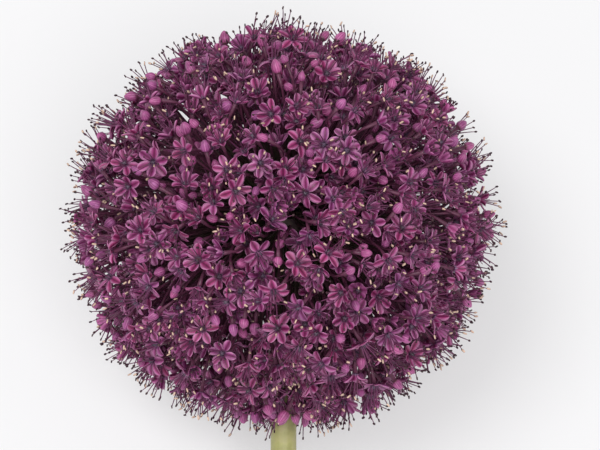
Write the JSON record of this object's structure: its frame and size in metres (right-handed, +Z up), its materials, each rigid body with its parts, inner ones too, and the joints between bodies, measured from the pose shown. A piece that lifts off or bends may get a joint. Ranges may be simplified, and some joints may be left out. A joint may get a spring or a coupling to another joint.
{
  "type": "allium flower head",
  "caption": "Round purple ornamental onion flower head on a short cut stem, lying on its side.",
  "frame": {"origin": "the middle of the object's footprint, on the surface it lies on", "axes": "+Z up, +Y along the object's length from the stem's cut end to the head"},
  "size_m": [0.1654, 0.2566, 0.1567],
  "materials": {
    "stem": "waxy green",
    "pedicels": "smooth, green to purple",
    "tepals": "satin petal",
    "buds": "satin petal",
    "filaments": "satin",
    "anthers": "powdery",
    "ovaries": "slightly waxy"
  },
  "bodies": {
    "root": {"stem": "stem", "floret_cluster_01": "tepals", "floret_cluster_02": "tepals", "floret_cluster_03": "tepals", "floret_cluster_04": "tepals", "floret_cluster_05": "tepals", "floret_cluster_06": "tepals", "floret_cluster_07": "tepals", "floret_cluster_08": "tepals", "floret_cluster_09": "tepals", "floret_cluster_10": "tepals", "floret_cluster_11": "tepals", "floret_cluster_12": "tepals", "floret_cluster_13": "tepals", "floret_cluster_14": "tepals", "floret_cluster_15": "tepals", "floret_cluster_16": "tepals", "floret_cluster_17": "tepals", "floret_cluster_18": "tepals", "floret_cluster_19": "tepals", "floret_cluster_20": "tepals", "floret_cluster_21": "tepals", "floret_cluster_22": "tepals", "floret_cluster_23": "tepals", "floret_cluster_24": "tepals", "floret_cluster_25": "tepals", "floret_cluster_26": "tepals", "floret_cluster_27": "tepals", "floret_cluster_28": "tepals", "floret_cluster_29": "tepals", "floret_cluster_30": "tepals", "floret_cluster_31": "tepals", "floret_cluster_32": "tepals", "floret_cluster_33": "tepals", "floret_cluster_34": "tepals", "floret_cluster_35": "tepals", "floret_cluster_36": "tepals", "floret_cluster_37": "tepals", "floret_cluster_38": "tepals", "floret_cluster_39": "tepals", "floret_cluster_40": "tepals", "floret_cluster_41": "tepals", "floret_cluster_42": "tepals", "floret_cluster_43": "tepals", "floret_cluster_44": "tepals", "floret_cluster_45": "tepals", "floret_cluster_46": "tepals", "floret_cluster_47": "tepals", "floret_cluster_48": "tepals", "floret_cluster_49": "tepals", "floret_cluster_50": "tepals", "floret_cluster_51": "tepals", "floret_cluster_52": "tepals", "floret_cluster_53": "tepals", "floret_cluster_54": "tepals"}
  },
  "joints": []
}
